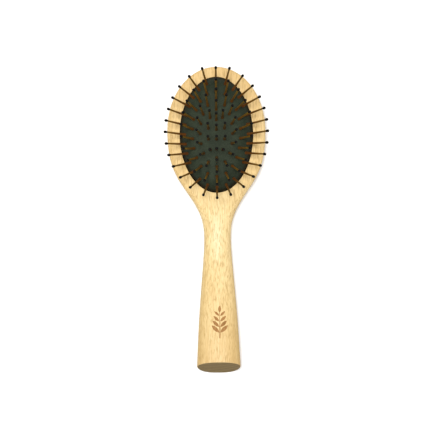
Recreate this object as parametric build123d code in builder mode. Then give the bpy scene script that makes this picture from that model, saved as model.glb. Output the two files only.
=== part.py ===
"""Oval cushion brush: a one-piece beech body with a domed rubber cushion and 80 ball-tipped pins.

The brush lies on its back. X runs across it, +Y towards the head end and +Z the way the pins
point. The origin is below the middle of the length, on the surface that the back rests on.
"""

from build123d import *
from math import copysign, cos, hypot, radians, sin, sqrt
import os

# Overall sizes, millimetres
length = 210.3
head_thickness = 15.0
head_half_width = 33.7
head_half_length = 43.9
end_slant = 7.8  # how much further the back of the handle end reaches than its front
end_thickness = 22.0
end_edge_radius = 0.5

# The head end of the outline is half an ellipse
head_centre_y = length / 2 - head_half_length
front_edge_radius = 2.0
back_edge_radius = 7.0

# Opening, recess and groove for the cushion
pad_centre_y = length / 2 - 47.4
pad_half_width = 25.2
pad_half_length = 40.1
recess_floor = 8.5
groove_depth = 1.2
groove_height = 1.6
lip_thickness = 1.2  # the wood over the groove
groove_top = head_thickness - lip_thickness
groove_bottom = groove_top - groove_height

# Rubber cushion
rubber = 1.2
flange_reach = groove_depth - 0.1
cushion_clearance = 0.5
cushion_half_width = pad_half_width - cushion_clearance
cushion_half_length = pad_half_length - cushion_clearance
dome_rise = 10.3
dome_edge_radius = 11.0
dome_edge_start = head_thickness + dome_rise - dome_edge_radius
dome_levels = 9  # steps between the cross-sections of the rounded edge
vent_diameter = 1.1
vent_y = -20.8  # from the pad centre, towards the handle

# Pins and their dipped tips
pin_length = 20.4
neck_radius = 1.05
waist_radius = 0.72
shank_radius = 0.56
flare_length = 6.0
pin_head_radius = 1.55
pin_head_thickness = 0.9
tip_length = 2.5
tip_radius = 0.95
tip_widest = 1.05  # from the end of the tip
tip_base_radius = 0.68
tip_socket = 1.5
hole_clearance = 0.04
hole_reach = 4.2  # how far the hole is cut each way

# Each ring of pins: name, half width, half length, number of pins, and how far its pin at the
# head end leans, as a share of the lean that its place gives
pin_field_y = -0.9  # middle of the rings, from the pad centre
rings = [
    ("outer", 21.2, 35.8, 28, 0.77),
    ("second", 16.2, 29.1, 22, 0.77),
    ("third", 10.9, 22.6, 16, 1.0),
    ("inner", 5.6, 16.4, 10, 1.0),
]
centre_pitch = 6.6
centre_count = 4
centre_row_y = -0.5  # middle of the centre row, from the middle of the rings

# How far the outer pins lean, as run over rise, how the lean across the brush grows from the
# centre line, and how both leans grow from ring to ring
lean_across = 0.93
lean_to_head = 0.46
lean_to_handle = 0.53
centre_line_power = 1.4
ring_power_across = 1.56
ring_power_along = 0.27

# Handle, from the widest place of the head to past the end: distance below the widest place,
# half width, back height, front height, then the share of the half width and of the thickness
# taken by the front and by the back rounding
head_shares = (
    front_edge_radius / head_half_width,
    front_edge_radius / head_thickness,
    back_edge_radius / head_half_width,
    back_edge_radius / head_thickness,
)
handle_stations = [
    (0.0, 33.7, 0.0, 15.0, *head_shares),
    (6.0, 33.6, 0.0, 15.0, *head_shares),
    (14.0, 32.9, 0.0, 15.0, 0.07, 0.14, 0.22, 0.47),
    (28.0, 29.2, 0.0, 15.0, 0.09, 0.16, 0.27, 0.50),
    (41.5, 21.3, 0.3, 15.0, 0.18, 0.22, 0.40, 0.55),
    (51.5, 14.9, 0.9, 15.2, 0.38, 0.32, 0.60, 0.60),
    (62.5, 10.3, 1.7, 15.7, 0.70, 0.42, 0.78, 0.56),
    (75.0, 9.1, 2.2, 16.5, 0.84, 0.46, 0.84, 0.52),
    (94.0, 10.2, 1.9, 17.9, 0.86, 0.44, 0.86, 0.52),
    (119.0, 12.3, 1.1, 19.8, 0.86, 0.41, 0.86, 0.55),
    (140.0, 13.7, 0.4, 21.2, 0.85, 0.38, 0.85, 0.58),
    (156.0, 14.5, 0.1, 22.0, 0.85, 0.37, 0.85, 0.60),
    (172.0, 15.2, 0.0, 22.6, 0.85, 0.37, 0.85, 0.60),
]


def dome_height(x, y):
    """Height of the outside of the rubber above the wood, at a place measured from the pad centre."""
    low, high = 0.0, dome_edge_radius
    while high - low > 1e-9:
        inset = (low + high) / 2
        if hypot(x / (cushion_half_width - inset), y / (cushion_half_length - inset)) < 1:
            low = inset
        else:
            high = inset
    return dome_rise - dome_edge_radius + sqrt(dome_edge_radius**2 - (dome_edge_radius - low) ** 2)


def lean(x, y, share_along):
    """The direction of the pin whose root is at a place measured from the middle of the rings."""
    across = x / rings[0][1]
    along = y / rings[0][2]
    share = hypot(across, along)
    sideways = copysign(abs(across) ** centre_line_power, x)
    lean_along = lean_to_head if y > 0 else lean_to_handle
    return Vector(
        lean_across * sideways * share**ring_power_across,
        lean_along * share_along * along * share**ring_power_along,
        1,
    ).normalized()


def seat(x, y, share_along=1):
    """The plane at a pin's root, on the outside of the rubber, with its normal along the pin."""
    pad_y = pin_field_y + y
    root = Vector(x, pad_centre_y + pad_y, head_thickness + dome_height(x, pad_y))
    return Plane(origin=root, x_dir=(1, 0, 0), z_dir=lean(x, y, share_along))


def ring_seats(half_width, half_length, count, head_end_share):
    """Seats by side of the centre line, spaced evenly along an ellipse from the head end."""
    right_side = Plane(origin=(0, 0, 0), x_dir=(0, 1, 0), z_dir=(0, 0, -1))
    outline = Edge.make_ellipse(half_length, half_width, right_side, start_angle=0, end_angle=180)
    spacing = 2 * outline.length / count
    places = [
        outline.position_at(spacing * number, PositionMode.LENGTH) for number in range(1, count // 2)
    ]
    return {
        "left": [seat(-place.X, place.Y) for place in places],
        "middle": [seat(0, half_length, head_end_share), seat(0, -half_length)],
        "right": [seat(place.X, place.Y) for place in places],
    }


# Wood body -----------------------------------------------------------------------------------

# the cut across the end of the handle, facing away from the handle
end_plane = Plane(origin=(0, -length / 2, 0), x_dir=(1, 0, 0), z_dir=(0, -end_thickness, end_slant))


def handle_section(station):
    """A cross-section: flat front and back, straight sides and four elliptical corners."""
    below, half_width, back, front, *shares = station
    thickness = front - back
    front_x = half_width * shares[0]
    front_z = thickness * shares[1]
    back_x = half_width * shares[2]
    back_z = thickness * shares[3]
    plane = Plane(origin=(0, head_centre_y - below, 0), x_dir=(1, 0, 0), z_dir=(0, -1, 0))
    with BuildSketch(plane) as sketch:
        with BuildLine():
            front_corner = EllipticalCenterArc(
                (half_width - front_x, front - front_z), front_x, front_z, 0, arc_size=90
            )
            back_corner = EllipticalCenterArc(
                (half_width - back_x, back + back_z), back_x, back_z, 270, arc_size=90
            )
            Line(back_corner @ 1, front_corner @ 0)
            Line(front_corner @ 1, (0, front))
            Line((0, back), back_corner @ 0)
            mirror(about=Plane.YZ)
        make_face()
    return sketch.sketch


sections = [handle_section(station) for station in handle_stations]

with BuildPart() as wood_body:
    with BuildSketch(Plane.XY):
        with Locations((0, head_centre_y)):
            Ellipse(head_half_width, head_half_length)
    extrude(amount=head_thickness)
    fillet(wood_body.faces().sort_by(Axis.Z)[-1].edges(), front_edge_radius)
    fillet(wood_body.faces().sort_by(Axis.Z)[0].edges(), back_edge_radius)
    split(bisect_by=Plane(origin=(0, head_centre_y, 0), z_dir=(0, 1, 0)), keep=Keep.TOP)
    loft(sections=sections)
    # the slanted end
    split(bisect_by=end_plane, keep=Keep.BOTTOM)
    # the recess that the cushion covers, and the groove that holds its flange
    with BuildSketch(Plane.XY.offset(recess_floor)):
        with Locations((0, pad_centre_y)):
            Ellipse(pad_half_width, pad_half_length)
    extrude(amount=head_thickness, mode=Mode.SUBTRACT)
    with BuildSketch(Plane.XY.offset(groove_bottom)):
        with Locations((0, pad_centre_y)):
            Ellipse(pad_half_width + groove_depth, pad_half_length + groove_depth)
    extrude(amount=groove_top - groove_bottom, mode=Mode.SUBTRACT)
    end_face = wood_body.faces().sort_by(Axis.Y)[0]
    fillet(end_face.edges(), end_edge_radius)

wood_body.part.label = "wood_body"

# Pin and tip ----------------------------------------------------------------------------------
# Each is drawn upright, with the outside of the rubber at zero height.

shank_top = pin_length - tip_length + tip_socket

with BuildPart() as pin:
    with BuildSketch(Plane.XZ):
        with BuildLine():
            Polyline(
                (neck_radius, 0),
                (neck_radius, -rubber),
                (pin_head_radius, -rubber),
                (pin_head_radius, -rubber - pin_head_thickness),
                (0, -rubber - pin_head_thickness),
                (0, shank_top),
                (shank_radius, shank_top),
                (shank_radius, pin_length - tip_length),
                (waist_radius, flare_length),
            )
            # the flare widens smoothly down to the neck
            Bezier(
                (waist_radius, flare_length),
                (waist_radius, flare_length / 3),
                (neck_radius, flare_length / 3),
                (neck_radius, 0),
            )
        make_face()
    revolve(axis=Axis.Z)

with BuildPart() as tip:
    with BuildSketch(Plane.XZ):
        with BuildLine():
            Line((0, shank_top), (0, pin_length))
            Spline(
                (0, pin_length),
                (tip_radius, pin_length - tip_widest),
                (tip_base_radius, pin_length - tip_length),
                tangents=[(1, 0), (-0.35, -1)],
            )
            Polyline(
                (tip_base_radius, pin_length - tip_length),
                (shank_radius, pin_length - tip_length),
                (shank_radius, shank_top),
                (0, shank_top),
            )
        make_face()
    revolve(axis=Axis.Z)

# Seats of all the pins ------------------------------------------------------------------------

seats = {}
for ring, *pattern in rings:
    for side, places in ring_seats(*pattern).items():
        seats[ring, side] = places
centre_start = centre_row_y - centre_pitch * (centre_count - 1) / 2
seats["centre", "middle"] = [
    seat(0, centre_start + centre_pitch * number) for number in range(centre_count)
]
all_seats = [place for places in seats.values() for place in places]

# Cushion --------------------------------------------------------------------------------------


def oval(height, inset):
    """A flat oval at a height, set in from the outside of the cushion, with its outline in two arcs."""
    half_width = cushion_half_width - inset
    half_length = cushion_half_length - inset
    with BuildSketch(Plane.XY.offset(height)) as sketch:
        with BuildLine():
            EllipticalCenterArc((0, pad_centre_y), half_width, half_length, 0, arc_size=180)
            EllipticalCenterArc((0, pad_centre_y), half_width, half_length, 180, arc_size=180)
        make_face()
    return sketch.sketch


def dome(inset):
    """A flat-topped oval dome with a rounded edge, set in from the outside of the cushion."""
    radius = dome_edge_radius - inset
    turns = [radians(90 * level / dome_levels) for level in range(dome_levels + 1)]
    edge_sections = [
        oval(dome_edge_start + radius * sin(turn), inset + radius * (1 - cos(turn))) for turn in turns
    ]
    with BuildPart() as shape:
        extrude(oval(groove_bottom, inset), amount=dome_edge_start - groove_bottom)
        loft(sections=edge_sections)
    return shape.part


outside = dome(0)
air_space = dome(rubber)

with BuildPart() as cushion:
    add(outside)
    # the flange that sits in the groove
    with BuildSketch(Plane.XY.offset(groove_bottom)):
        with Locations((0, pad_centre_y)):
            Ellipse(pad_half_width + flange_reach, pad_half_length + flange_reach)
    extrude(amount=groove_top - groove_bottom)
    add(air_space, mode=Mode.SUBTRACT)
    # a hole for each pin, and room for its head where the rubber gives way to it
    with Locations(*all_seats):
        Cylinder(neck_radius + hole_clearance, 2 * hole_reach, mode=Mode.SUBTRACT)
        with Locations((0, 0, hole_clearance - rubber)):
            Cylinder(
                pin_head_radius + hole_clearance,
                hole_reach,
                align=(Align.CENTER, Align.CENTER, Align.MAX),
                mode=Mode.SUBTRACT,
            )
    # the air vent
    with Locations((0, pad_centre_y + vent_y, head_thickness + dome_rise)):
        Cylinder(vent_diameter / 2, 3 * rubber, mode=Mode.SUBTRACT)

cushion.part.label = "cushion"

# Export ---------------------------------------------------------------------------------------

os.makedirs("parts", exist_ok=True)
export_step(wood_body.part, "parts/wood_body.step")
export_step(cushion.part, "parts/cushion.step")

for (ring, side), places in seats.items():
    for kind, piece in (("pins", pin), ("tips", tip)):
        with BuildPart() as group:
            with Locations(*places):
                add(piece.part)
        group.part.label = f"{ring}_{kind}_{side}"
        export_step(group.part, f"parts/{group.part.label}.step")
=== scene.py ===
"""Looks of the oval cushion brush: cushion, materials, burnt sprig, light and camera."""

import bmesh
import bpy
import math
import numpy as np
from mathutils import Matrix, Quaternion, Vector
from mathutils.bvhtree import BVHTree


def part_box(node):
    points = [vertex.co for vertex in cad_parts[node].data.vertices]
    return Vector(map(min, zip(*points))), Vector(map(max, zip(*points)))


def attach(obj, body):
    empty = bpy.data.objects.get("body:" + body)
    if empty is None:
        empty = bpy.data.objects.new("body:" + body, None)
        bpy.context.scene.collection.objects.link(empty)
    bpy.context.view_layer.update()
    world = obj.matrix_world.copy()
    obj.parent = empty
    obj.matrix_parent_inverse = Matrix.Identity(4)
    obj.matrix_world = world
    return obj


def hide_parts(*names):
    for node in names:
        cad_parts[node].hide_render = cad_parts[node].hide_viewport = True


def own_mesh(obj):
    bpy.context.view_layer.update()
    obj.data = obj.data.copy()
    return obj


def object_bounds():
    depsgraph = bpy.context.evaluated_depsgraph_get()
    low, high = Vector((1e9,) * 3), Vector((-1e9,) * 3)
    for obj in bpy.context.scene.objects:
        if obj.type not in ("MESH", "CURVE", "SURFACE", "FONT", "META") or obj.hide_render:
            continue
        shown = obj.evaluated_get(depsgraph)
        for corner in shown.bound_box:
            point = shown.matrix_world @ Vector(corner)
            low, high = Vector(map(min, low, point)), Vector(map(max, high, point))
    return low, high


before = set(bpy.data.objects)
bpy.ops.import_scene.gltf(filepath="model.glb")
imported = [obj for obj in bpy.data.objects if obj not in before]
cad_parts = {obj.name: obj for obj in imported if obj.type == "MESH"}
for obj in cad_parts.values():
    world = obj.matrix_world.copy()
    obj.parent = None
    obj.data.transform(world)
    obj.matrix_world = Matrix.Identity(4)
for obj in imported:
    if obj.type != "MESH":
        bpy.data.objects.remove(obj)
cad_low, cad_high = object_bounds()

MM = 0.001

# Sizes that follow the CAD model -----------------------------------------------------------

cushion_low, cushion_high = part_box("cushion")
flange = 1.6 * MM
rubber = 1.2 * MM
rim_height = 15.0 * MM
pad_centre = Vector((0, (cushion_low[1] + cushion_high[1]) / 2, rim_height))
pad_half_width = (cushion_high[0] - cushion_low[0]) / 2 - flange
pad_half_length = (cushion_high[1] - cushion_low[1]) / 2 - flange
dome_top = cushion_high[2]
dome_rise = dome_top - rim_height
dome_edge_radius = 11.0 * MM
dome_crown = 0.45 * MM  # how much the middle of the dome bulges
vent_radius = 0.55 * MM
vent_place = pad_centre + Vector((0, -20.8 * MM, dome_rise))
pin_root_above_head = 2.1 * MM

# Section of the moulded collar round a pin, in millimetres: distance from the pin's middle, and
# height above the rubber, from the buried outer edge over the top to the buried inner edge
collar_profile = [
    (2.0, -0.55),
    (1.75, 0.02),
    (1.55, 0.20),
    (1.35, 0.30),
    (1.18, 0.26),
    (1.07, 0.05),
    (1.06, -0.4),
]

# Helpers -----------------------------------------------------------------------------------


def new_object(name, bm_or_mesh, smooth_angle=None):
    """A mesh object in the scene, smooth shaded, with edges sharper than smooth_angle kept."""
    if isinstance(bm_or_mesh, bmesh.types.BMesh):
        mesh = bpy.data.meshes.new(name)
        bm_or_mesh.to_mesh(mesh)
        bm_or_mesh.free()
    else:
        mesh = bm_or_mesh
    obj = bpy.data.objects.new(name, mesh)
    bpy.context.scene.collection.objects.link(obj)
    mesh.shade_smooth()
    if smooth_angle is not None:
        mesh.set_sharp_from_angle(angle=math.radians(smooth_angle))
    return obj


def mesh_from(name, points, faces):
    mesh = bpy.data.meshes.new(name)
    mesh.from_pydata([tuple(p) for p in points], [], faces)
    mesh.update()
    return mesh


def grey(value):
    return (value, value, value)


# The sockets that Blender's Mix node uses for colours
MIX_FACTOR = 0
MIX_FIRST = 6
MIX_SECOND = 7
MIX_RESULT = 2


class Nodes:
    """Makes a material's nodes and links. A value is a (node, output) pair."""

    def __init__(self, name):
        self.material = bpy.data.materials.new(name)
        self.material.use_nodes = True
        self.tree = self.material.node_tree
        self.tree.nodes.clear()
        self.shader = self.add("ShaderNodeBsdfPrincipled")
        self.link((self.shader, "BSDF"), self.add("ShaderNodeOutputMaterial"), "Surface")

    def add(self, kind, **settings):
        node = self.tree.nodes.new(kind)
        for key, setting in settings.items():
            setattr(node, key, setting)
        return node

    def set(self, node, **numbers):
        """Sets inputs by name, with an underscore for each space."""
        for key, number in numbers.items():
            node.inputs[key.replace("_", " ")].default_value = number

    def link(self, value, target, socket):
        source, output = value
        self.tree.links.new(source.outputs[output], target.inputs[socket])

    def place(self, scale=(1, 1, 1), offset=(0, 0, 0)):
        """Object coordinates, scaled along each axis and then moved."""
        mapping = self.add("ShaderNodeMapping")
        self.set(mapping, Scale=scale, Location=offset)
        self.link((self.add("ShaderNodeTexCoord"), "Object"), mapping, "Vector")
        return mapping, "Vector"

    def axis(self, vector, name):
        """One axis of a vector."""
        split = self.add("ShaderNodeSeparateXYZ")
        self.link(vector, split, "Vector")
        return split, name

    def normal(self, name):
        """One axis of the surface's normal."""
        return self.axis((self.add("ShaderNodeNewGeometry"), "Normal"), name)

    def math(self, operation, *values):
        node = self.add("ShaderNodeMath", operation=operation)
        for socket, value in enumerate(values):
            self.link(value, node, socket)
        return node, "Value"

    def span(self, value, start, end, top=1.0, curve="LINEAR"):
        """Turns start to end into 0 to top."""
        node = self.add("ShaderNodeMapRange", interpolation_type=curve)
        self.set(node, From_Min=start, From_Max=end, To_Max=top)
        self.link(value, node, "Value")
        return node, "Result"

    def noise(self, place, scale, detail, roughness=0.5, distortion=0.0):
        node = self.add("ShaderNodeTexNoise")
        self.set(node, Scale=scale, Detail=detail, Roughness=roughness, Distortion=distortion)
        self.link(place, node, "Vector")
        return node, "Fac"

    def ramp(self, value, *stops):
        """Colours along a value, as (position, colour) stops."""
        node = self.add("ShaderNodeValToRGB")
        elements = node.color_ramp.elements
        while len(elements) < len(stops):
            elements.new(0.5)
        for element, (position, colour) in zip(elements, stops):
            element.position = position
            element.color = (*colour, 1)
        self.link(value, node, "Fac")
        return node, "Color"

    def mix(self, factor, first, second, blend="MIX"):
        """Mixes two colours by a value, or fully where the factor is None."""
        node = self.add("ShaderNodeMix", data_type="RGBA", blend_type=blend)
        if factor is None:
            node.inputs[MIX_FACTOR].default_value = 1.0
        else:
            self.link(factor, node, MIX_FACTOR)
        for socket, colour in ((MIX_FIRST, first), (MIX_SECOND, second)):
            if isinstance(colour[0], bpy.types.Node):
                self.link(colour, node, socket)
            else:
                node.inputs[socket].default_value = (*colour, 1)
        return node, MIX_RESULT

    def multiply(self, first, second):
        return self.mix(None, first, second, "MULTIPLY")

    def bump(self, strength, *layers):
        """Bump from (value, depth) layers, chained in order."""
        last = None
        for height, depth in layers:
            node = self.add("ShaderNodeBump")
            self.set(node, Strength=strength, Distance=depth)
            self.link(height, node, "Height")
            if last is not None:
                self.link((last, "Normal"), node, "Normal")
            last = node
        self.link((last, "Normal"), self.shader, "Normal")

    def finish(self, colour, roughness, specular):
        self.link(colour, self.shader, "Base Color")
        self.link(roughness, self.shader, "Roughness")
        self.set(self.shader, Specular_IOR_Level=specular)
        return self.material


# Materials ---------------------------------------------------------------------------------

wood_flow = (1.0, 0.03, 1.0)  # the grain runs along Y


def beech_base(n):
    """Broad soft bands of growth, with painted light on top: palest at the neck where the light is
    brightest, darker and a little redder towards the head and the end.
    """
    bands = n.noise(n.place(wood_flow), 150.0, 4.0, 0.68, 0.6)
    base = n.ramp(
        bands,
        (0.30, (0.640, 0.465, 0.215)),
        (0.50, (0.710, 0.545, 0.275)),
        (0.70, (0.755, 0.605, 0.330)),
    )
    along_brush = n.span(n.axis(n.place(), "Y"), cad_low[1], cad_high[1])
    # painted light: the wood darkens from the neck towards the head and the end
    painted_light_falloff = n.ramp(
        along_brush,
        (0.0, (0.88, 0.82, 0.80)),
        (0.25, (0.955, 0.93, 0.91)),
        (0.38, grey(1.0)),
        (0.52, grey(1.0)),
        (0.66, (0.955, 0.89, 0.80)),
        (1.0, (0.93, 0.85, 0.76)),
    )
    return n.multiply(base, painted_light_falloff)


def painted_highlight_and_shade(n, colour):
    """A painted highlight as a pale patch on the front of the neck, and painted shade darkening the
    sides of the grip where they turn away from the light.
    """
    # painted highlight: a pale patch round a point on the front of the neck
    highlight_centre = (-0.5 * MM, -13.0 * MM, 16.5 * MM)
    highlight_size = (6 * MM, 28 * MM, 12 * MM)
    highlight_scale = [1 / size for size in highlight_size]
    highlight_offset = [-centre / size for centre, size in zip(highlight_centre, highlight_size)]
    highlight_distance = n.add("ShaderNodeVectorMath", operation="LENGTH")
    n.link(n.place(highlight_scale, highlight_offset), highlight_distance, 0)
    highlight_amount = n.span((highlight_distance, "Value"), 1.0, 0.0, 0.65, "SMOOTHSTEP")
    highlighted = n.mix(highlight_amount, colour, (0.76, 0.69, 0.45))
    # painted shade: the grip is darker where its surface faces sideways
    sideways = n.math("ABSOLUTE", n.normal("X"))
    grip = n.span(n.axis(n.place(), "Y"), -10 * MM, -95 * MM)
    side_shade = n.math("MULTIPLY", sideways, grip)
    return n.multiply(highlighted, n.ramp(side_shade, (0.0, grey(1.0)), (0.75, (0.84, 0.80, 0.68))))


def end_grain(n):
    """The darker cut across the grain, with faint rings and pores."""
    rings = n.add("ShaderNodeTexWave", wave_type="RINGS", rings_direction="Y")
    n.set(rings, Scale=95.0, Distortion=1.4, Detail=3.0, Detail_Scale=1.6)
    n.link(n.place(offset=(12 * MM, 0.0, 30 * MM)), rings, "Vector")
    tone = n.ramp((rings, "Fac"), (0.2, (0.150, 0.092, 0.018)), (0.8, (0.205, 0.135, 0.032)))
    pores = n.noise(n.place(), 3000.0, 2.0)
    return n.multiply(tone, n.ramp(pores, (0.35, grey(0.78)), (0.6, grey(1.0))))


def beech_material():
    n = Nodes("beech")
    wood = painted_highlight_and_shade(n, beech_base(n))
    fibres = n.noise(n.place(wood_flow), 2200.0, 3.0, 0.6)
    fibre_tone = n.ramp(fibres, (0.3, (0.90, 0.86, 0.77)), (0.7, (1.05, 1.06, 1.10)))
    fibred = n.multiply(wood, fibre_tone)
    # short dark ray flecks, in two sizes
    fine = n.noise(n.place((1.0, 0.11, 1.0)), 1900.0, 2.0)
    fine_mask = n.ramp(fine, (0.53, grey(0.0)), (0.66, grey(0.85)))
    coarse = n.noise(n.place((1.0, 0.07, 1.0)), 1350.0, 2.0)
    coarse_mask = n.ramp(coarse, (0.57, grey(0.0)), (0.68, grey(0.55)))
    flecks = n.mix(None, fine_mask, coarse_mask, "LIGHTEN")
    flecked = n.mix(flecks, fibred, (0.42, 0.275, 0.105))
    facing_end = n.span(n.normal("Y"), -0.80, -0.92)
    colour = n.mix(facing_end, flecked, end_grain(n))
    n.bump(0.5, (fibres, 0.04 * MM), (fine, 0.03 * MM))
    return n.finish(colour, n.ramp(fibres, (0.3, grey(0.58)), (0.7, grey(0.48))), 0.10)


def rubber_material():
    n = Nodes("rubber")
    cloud = n.noise(n.place(), 110.0, 4.0, 0.6)
    tone = n.ramp(cloud, (0.3, (0.017, 0.023, 0.014)), (0.7, (0.027, 0.035, 0.022)))
    grain = n.noise(n.place(), 1700.0, 4.0, 0.65)
    dusty = n.multiply(tone, n.ramp(grain, (0.35, grey(0.68)), (0.70, (1.42, 1.42, 1.34))))
    # painted shade: the rubber darkens to nearly black down the steep edge towards the rim
    height = n.span(n.axis(n.place(), "Z"), rim_height, dome_top)
    edge = n.ramp(
        height, (0.0, grey(0.05)), (0.30, grey(0.22)), (0.62, grey(0.85)), (1.0, grey(1.0))
    )
    n.bump(0.6, (grain, 0.03 * MM), (cloud, 0.12 * MM))
    dull = n.ramp(cloud, (0.3, grey(0.58)), (0.7, grey(0.70)))
    return n.finish(n.multiply(dusty, edge), dull, 0.06)


def nylon_material():
    """Amber brown, redder near the rubber."""
    n = Nodes("pin_nylon")
    amber_height = dome_top + 16 * MM
    height = n.span(n.axis(n.place(), "Z"), dome_top, amber_height)
    tone = n.ramp(
        height,
        (0.0, (0.105, 0.036, 0.006)),
        (0.45, (0.130, 0.062, 0.006)),
        (1.0, (0.140, 0.082, 0.006)),
    )
    cloud = n.noise(n.place(), 320.0, 3.0)
    depth = n.ramp(cloud, (0.3, (0.72, 0.68, 0.62)), (0.7, grey(1.2)))
    streaks = n.noise(n.place((1.0, 1.0, 0.1)), 5000.0, 2.0)
    n.bump(0.5, (streaks, 0.01 * MM))
    gloss = n.ramp(streaks, (0.3, grey(0.40)), (0.7, grey(0.52)))
    return n.finish(n.multiply(tone, depth), gloss, 0.25)


def tip_material():
    n = Nodes("tip_coating")
    cloud = n.noise(n.place(), 900.0, 2.0)
    tone = n.ramp(cloud, (0.3, grey(0.003)), (0.7, (0.008, 0.007, 0.006)))
    n.bump(0.5, (cloud, 0.02 * MM))
    return n.finish(tone, n.ramp(cloud, (0.3, grey(0.42)), (0.7, grey(0.54))), 0.05)


def burnt_material():
    n = Nodes("burnt_mark")
    scorch = n.noise(n.place((1.0, 0.1, 1.0)), 1600.0, 3.0, 0.6)
    tone = n.ramp(scorch, (0.3, (0.20, 0.095, 0.030)), (0.7, (0.40, 0.21, 0.075)))
    n.bump(0.6, (scorch, 0.04 * MM))
    return n.finish(tone, n.ramp(scorch, (0.3, grey(0.75)), (0.7, grey(0.6))), 0.1)


def floor_material():
    n = Nodes("pale_floor")
    n.set(n.shader, Base_Color=(0.88, 0.88, 0.88, 1), Roughness=0.9, Specular_IOR_Level=0.0)
    return n.material


beech = beech_material()
rubber_look = rubber_material()
nylon = nylon_material()
coating = tip_material()
burnt = burnt_material()

# CAD nodes that are shown as they are --------------------------------------------------------


def dress(node, material):
    """Gives a CAD node's object a material and leaves its mesh alone."""
    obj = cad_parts[node]
    for slot in obj.material_slots:
        slot.material = material
    if not obj.material_slots:
        obj.data.materials.append(material)


pin_nodes = sorted(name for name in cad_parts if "_pins_" in name)
tip_nodes = sorted(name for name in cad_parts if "_tips_" in name)
dress("wood_body", beech)
for node in pin_nodes:
    dress(node, nylon)
for node in tip_nodes:
    dress(node, coating)

# Where the pins leave the rubber ---------------------------------------------------------------

end_slice = 0.2 * MM  # how much of a pin's end is averaged to find its middle


def loose_parts(mesh):
    """The points of each separate shell of a mesh."""
    parent = list(range(len(mesh.vertices)))

    def find(i):
        while parent[i] != i:
            parent[i] = parent[parent[i]]
            i = parent[i]
        return i

    points = np.array([v.co for v in mesh.vertices], float).reshape(-1, 3)
    same = {}
    for i, p in enumerate(np.round(points, 7)):
        key = tuple(p)
        parent[find(i)] = find(same.setdefault(key, i))
    for edge in mesh.edges:
        a, b = edge.vertices
        parent[find(a)] = find(b)
    groups = {}
    for i in range(len(points)):
        groups.setdefault(find(i), []).append(i)
    return [points[index] for index in groups.values()]


def pin_axes():
    """The root on the rubber's outside and the direction of every pin."""
    axes = []
    for node in pin_nodes:
        for points in loose_parts(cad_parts[node].data):
            centre = points.mean(axis=0)
            direction = np.linalg.svd(points - centre, full_matrices=False)[2][0]
            direction *= np.sign(direction[2])
            heights = (points - centre) @ direction
            foot = points[heights < heights.min() + end_slice]
            middle = (foot.min(axis=0) + foot.max(axis=0)) / 2
            top = points[heights > heights.max() - end_slice].mean(axis=0)
            direction = (top - middle) / np.linalg.norm(top - middle)
            axes.append((Vector(middle + direction * pin_root_above_head), Vector(direction)))
    return axes


# Cushion ---------------------------------------------------------------------------------------


def edge_height(inset):
    """Height above the rim at a distance in from the cushion's edge."""
    left = max(dome_edge_radius - inset, 0)
    return dome_rise - dome_edge_radius + math.sqrt(dome_edge_radius**2 - left**2)


def rim_point(angle, inset, height):
    """A point on the oval that is set in from the rim, at a height above the rim."""
    x = (pad_half_width - inset) * math.cos(angle)
    y = (pad_half_length - inset) * math.sin(angle)
    return Vector((x, y, height))


def cushion_rings():
    """Rings of points from the hidden flange up over the edge and in to the middle."""
    around = 288
    edge_steps = 16
    top_shares = (0.86, 0.72, 0.58, 0.45, 0.33, 0.22, 0.12, 0.05)
    angles = [math.tau * k / around for k in range(around)]
    flange_top = -1.25 * MM
    flange_reach = 1.3 * MM
    bend = 0.35 * MM  # where the flange turns up out of the groove
    profile = [(-flange_reach, flange_top), (-bend, flange_top), (0.0, flange_top + 0.3 * MM)]
    edge_turn = math.acos((dome_edge_radius - dome_rise) / dome_edge_radius)
    for step in range(edge_steps + 1):
        turn = math.pi / 2 - edge_turn + edge_turn * step / edge_steps
        inset = dome_edge_radius * (1 - math.cos(turn))
        profile.append((inset, edge_height(inset)))
    rings = [[rim_point(a, inset, height) for a in angles] for inset, height in profile]
    inner = rings[-1]
    for share in top_shares:
        rings.append([Vector((p.x * share, p.y * share, p.z)) for p in inner])
    return rings


def crowned(point):
    """Adds the slight crown of the top of the dome."""
    share = (point.x / pad_half_width) ** 2 + (point.y / pad_half_length) ** 2
    lift = dome_crown * max(0.0, 1 - share) ** 1.5
    return point + Vector((0, 0, lift)) + pad_centre


def ring_faces(rows):
    """Quads between rows of the same length, and a fan from the last row to a point after it."""
    count = len(rows[0])
    faces = []
    for row in range(len(rows) - 1):
        low, high = row * count, (row + 1) * count
        for k in range(count):
            m = (k + 1) % count
            faces.append((low + k, low + m, high + m, high + k))
    last = (len(rows) - 1) * count
    middle = len(rows) * count
    faces += [(last + k, last + (k + 1) % count, middle) for k in range(count)]
    return faces


def cushion_shell():
    rings = cushion_rings()
    points = [crowned(p) for ring in rings for p in ring]
    points.append(crowned(Vector((0, 0, dome_rise))))
    return mesh_from("cushion_shell", points, ring_faces(rings))


def add_collar(bm, root, direction):
    """Adds a low moulded collar round a pin, as a closed ring."""
    around = 20
    side = direction.orthogonal().normalized()
    other = direction.cross(side)
    rows = []
    for radius, height in collar_profile:
        middle = root + direction * height * MM
        row = []
        for k in range(around):
            turn = math.tau * k / around
            outwards = side * math.cos(turn) + other * math.sin(turn)
            row.append(bm.verts.new(middle + outwards * radius * MM))
        rows.append(row)
    for low, high in [*zip(rows, rows[1:]), (rows[-1], rows[0])]:
        for k in range(around):
            m = (k + 1) % around
            bm.faces.new((low[k], low[m], high[m], high[k]))


def vent_cutter():
    drill = bmesh.new()
    bmesh.ops.create_cone(
        drill,
        cap_ends=True,
        segments=24,
        radius1=vent_radius,
        radius2=vent_radius,
        depth=8 * rubber,
        matrix=Matrix.Translation(vent_place),
    )
    return new_object("vent_cutter", drill)


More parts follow.
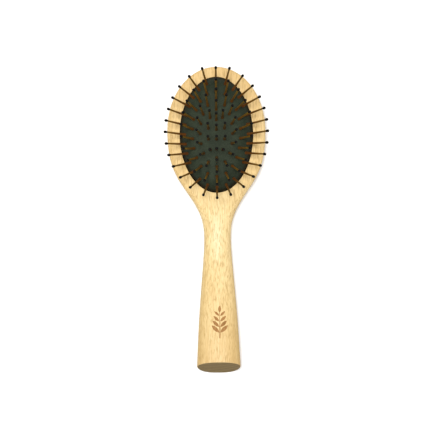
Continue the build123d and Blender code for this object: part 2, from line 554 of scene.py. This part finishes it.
def hollow_dome():
    """The dome's mesh with its thickness and its vent."""
    dome = new_object("dome", cushion_shell())
    thick = dome.modifiers.new("thickness", "SOLIDIFY")
    thick.thickness = rubber
    thick.offset = -1
    cutter = vent_cutter()
    cut = dome.modifiers.new("vent", "BOOLEAN")
    cut.operation = "DIFFERENCE"
    cut.object = cutter
    cut.solver = "EXACT"
    depsgraph = bpy.context.evaluated_depsgraph_get()
    shaped = bpy.data.meshes.new_from_object(dome.evaluated_get(depsgraph))
    for obj in (dome, cutter):
        mesh = obj.data
        bpy.data.objects.remove(obj)
        bpy.data.meshes.remove(mesh)
    return shaped


def make_cushion():
    bm = bmesh.new()
    bm.from_mesh(hollow_dome())
    for root, direction in pin_axes():
        add_collar(bm, root, direction)
    cushion = new_object("rubber_cushion", bm, 40)
    cushion.data.materials.append(rubber_look)
    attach(cushion, "root")
    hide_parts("cushion")
    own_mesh(cushion)


make_cushion()

# Burnt sprig on the handle -----------------------------------------------------------------------

sprig_centre = Vector((0.9 * MM, pad_centre.y - 128 * MM, 0))
sprig_length = 22 * MM
stem_half_width = 0.35 * MM
stem_length = 0.8 * sprig_length
leaf_pairs = 4
first_leaves = 0.16  # their place along the sprig, as a share of its length
leaf_spacing = 0.17  # also as a share of its length
leaf_length = 7.0 * MM
leaf_width = 2.5 * MM
leaf_shrink = 0.12  # from one pair to the next
leaf_start = 0.5 * MM  # from the middle of the stem
leaf_sideways = 0.72  # the way a leaf points, across and along the stem
leaf_forward = 0.69
top_leaf_start = 0.78  # as a share of the sprig's length
top_leaf_width = 2.0 * MM
burn_proud = 0.03 * MM
burn_depth = 0.12 * MM


def leaf_outline(base, direction, length, width):
    """A pointed leaf as a closed outline from its base."""
    side = Vector((-direction.y, direction.x, 0))
    steps = 12
    right = []
    left = []
    for k in range(steps + 1):
        share = k / steps
        half = width / 2 * math.sin(math.pi * share) ** 0.8
        middle = base + direction * length * share
        right.append(middle - side * half)
        if 0 < k < steps:
            left.append(middle + side * half)
    return right + left[::-1]


def stem_outline(bottom):
    """A stem that narrows to half its width, as a closed outline."""
    corners = (
        (-stem_half_width, 0),
        (stem_half_width, 0),
        (stem_half_width / 2, stem_length),
        (-stem_half_width / 2, stem_length),
    )
    return [bottom + Vector((x, y, 0)) for x, y in corners]


def sprig_outlines():
    """The stem and leaves of a plain sprig, flat, with its stem along the handle."""
    bottom = sprig_centre - Vector((0, sprig_length / 2, 0))
    outlines = [stem_outline(bottom)]
    for pair in range(leaf_pairs):
        base = bottom + Vector((0, sprig_length * (first_leaves + leaf_spacing * pair), 0))
        size = 1.0 - leaf_shrink * pair
        for sign in (-1, 1):
            direction = Vector((sign * leaf_sideways, leaf_forward, 0)).normalized()
            start = base + direction * leaf_start
            outlines.append(leaf_outline(start, direction, leaf_length * size, leaf_width * size))
    top = bottom + Vector((0, sprig_length * top_leaf_start, 0))
    top_length = sprig_length * (1 - top_leaf_start)
    outlines.append(leaf_outline(top, Vector((0, 1, 0)), top_length, top_leaf_width))
    return outlines


def flat_leaf(outline):
    """A flat mesh of small triangles that fills an outline."""
    flat = bmesh.new()
    face = flat.faces.new([flat.verts.new(p) for p in outline])
    bmesh.ops.triangulate(flat, faces=[face])
    bmesh.ops.subdivide_edges(flat, edges=flat.edges[:], cuts=2, use_grid_fill=True)
    return flat


def lay_on(tree, flat, bm):
    """Adds a flat mesh to bm as a closed thin layer that follows the surface below it."""
    above = 100 * MM
    layer = {}
    for vert in flat.verts:
        start = Vector((vert.co.x, vert.co.y, above))
        hit, normal, _, _ = tree.ray_cast(start, Vector((0, 0, -1)))
        outer = bm.verts.new(hit + normal * burn_proud)
        inner = bm.verts.new(hit - normal * burn_depth)
        layer[vert] = (outer, inner)
    for face in flat.faces:
        bm.faces.new([layer[v][0] for v in face.verts])
        bm.faces.new([layer[v][1] for v in reversed(face.verts)])
    for edge in flat.edges:
        if edge.is_boundary:
            loop = edge.link_loops[0]
            a, b = loop.vert, loop.link_loop_next.vert
            bm.faces.new((layer[b][0], layer[a][0], layer[a][1], layer[b][1]))


def make_sprig(surface):
    """Lays the sprig on the handle as a thin burnt layer."""
    tree = BVHTree.FromObject(surface, bpy.context.evaluated_depsgraph_get())
    bm = bmesh.new()
    for outline in sprig_outlines():
        flat = flat_leaf(outline)
        lay_on(tree, flat, bm)
        flat.free()
    bmesh.ops.recalc_face_normals(bm, faces=bm.faces[:])
    sprig = new_object("burnt_sprig", bm, 30)
    sprig.data.materials.append(burnt)
    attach(sprig, "root")


make_sprig(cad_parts["wood_body"])

# Floor, light and camera ----------------------------------------------------------------------

floor_half_size = 3.0
key_place = Vector((-0.07, 0.02, 1.2))
key_size = 0.45
key_power = 18.0
sky_strength = 0.40
camera_tilt = math.radians(4.7)
camera_roll = math.radians(0.6)
camera_distance = 0.9
camera_lens = 110.5
camera_target = Vector((-1.55 * MM, pad_centre.y - 55.3 * MM, rim_height))


def make_floor():
    """A floor at the height that the brush lies on."""
    level = min(cad_low[2], 0.0)
    corners = [(-1, -1), (1, -1), (1, 1), (-1, 1)]
    points = [(x * floor_half_size, y * floor_half_size, level) for x, y in corners]
    floor = new_object("floor", mesh_from("floor", points, [(0, 1, 2, 3)]))
    floor.data.materials.append(floor_material())


def make_light():
    """An even white sky and one soft disk of light above, aimed at the origin."""
    world = bpy.data.worlds.new("studio")
    world.use_nodes = True
    background = world.node_tree.nodes["Background"]
    background.inputs["Color"].default_value = (1.0, 1.0, 1.0, 1)
    background.inputs["Strength"].default_value = sky_strength
    bpy.context.scene.world = world
    data = bpy.data.lights.new("key", "AREA")
    data.shape = "DISK"
    data.size = key_size
    data.energy = key_power
    light = bpy.data.objects.new("key", data)
    bpy.context.scene.collection.objects.link(light)
    light.location = key_place
    light.rotation_mode = "QUATERNION"
    light.rotation_quaternion = (-key_place).to_track_quat("-Z", "Y")


def make_camera():
    """Above the brush, tipped a little towards the handle."""
    towards = Vector((0, -math.sin(camera_tilt), math.cos(camera_tilt)))
    data = bpy.data.cameras.new("camera")
    data.sensor_width = 36.0
    data.lens = camera_lens
    camera = bpy.data.objects.new("camera", data)
    bpy.context.scene.collection.objects.link(camera)
    camera.location = camera_target + towards * camera_distance
    camera.rotation_mode = "QUATERNION"
    upright = towards.to_track_quat("Z", "Y")
    camera.rotation_quaternion = upright @ Quaternion((0, 0, 1), -camera_roll)
    bpy.context.scene.camera = camera


make_floor()
make_light()
make_camera()
bpy.context.scene.view_settings.view_transform = "Standard"
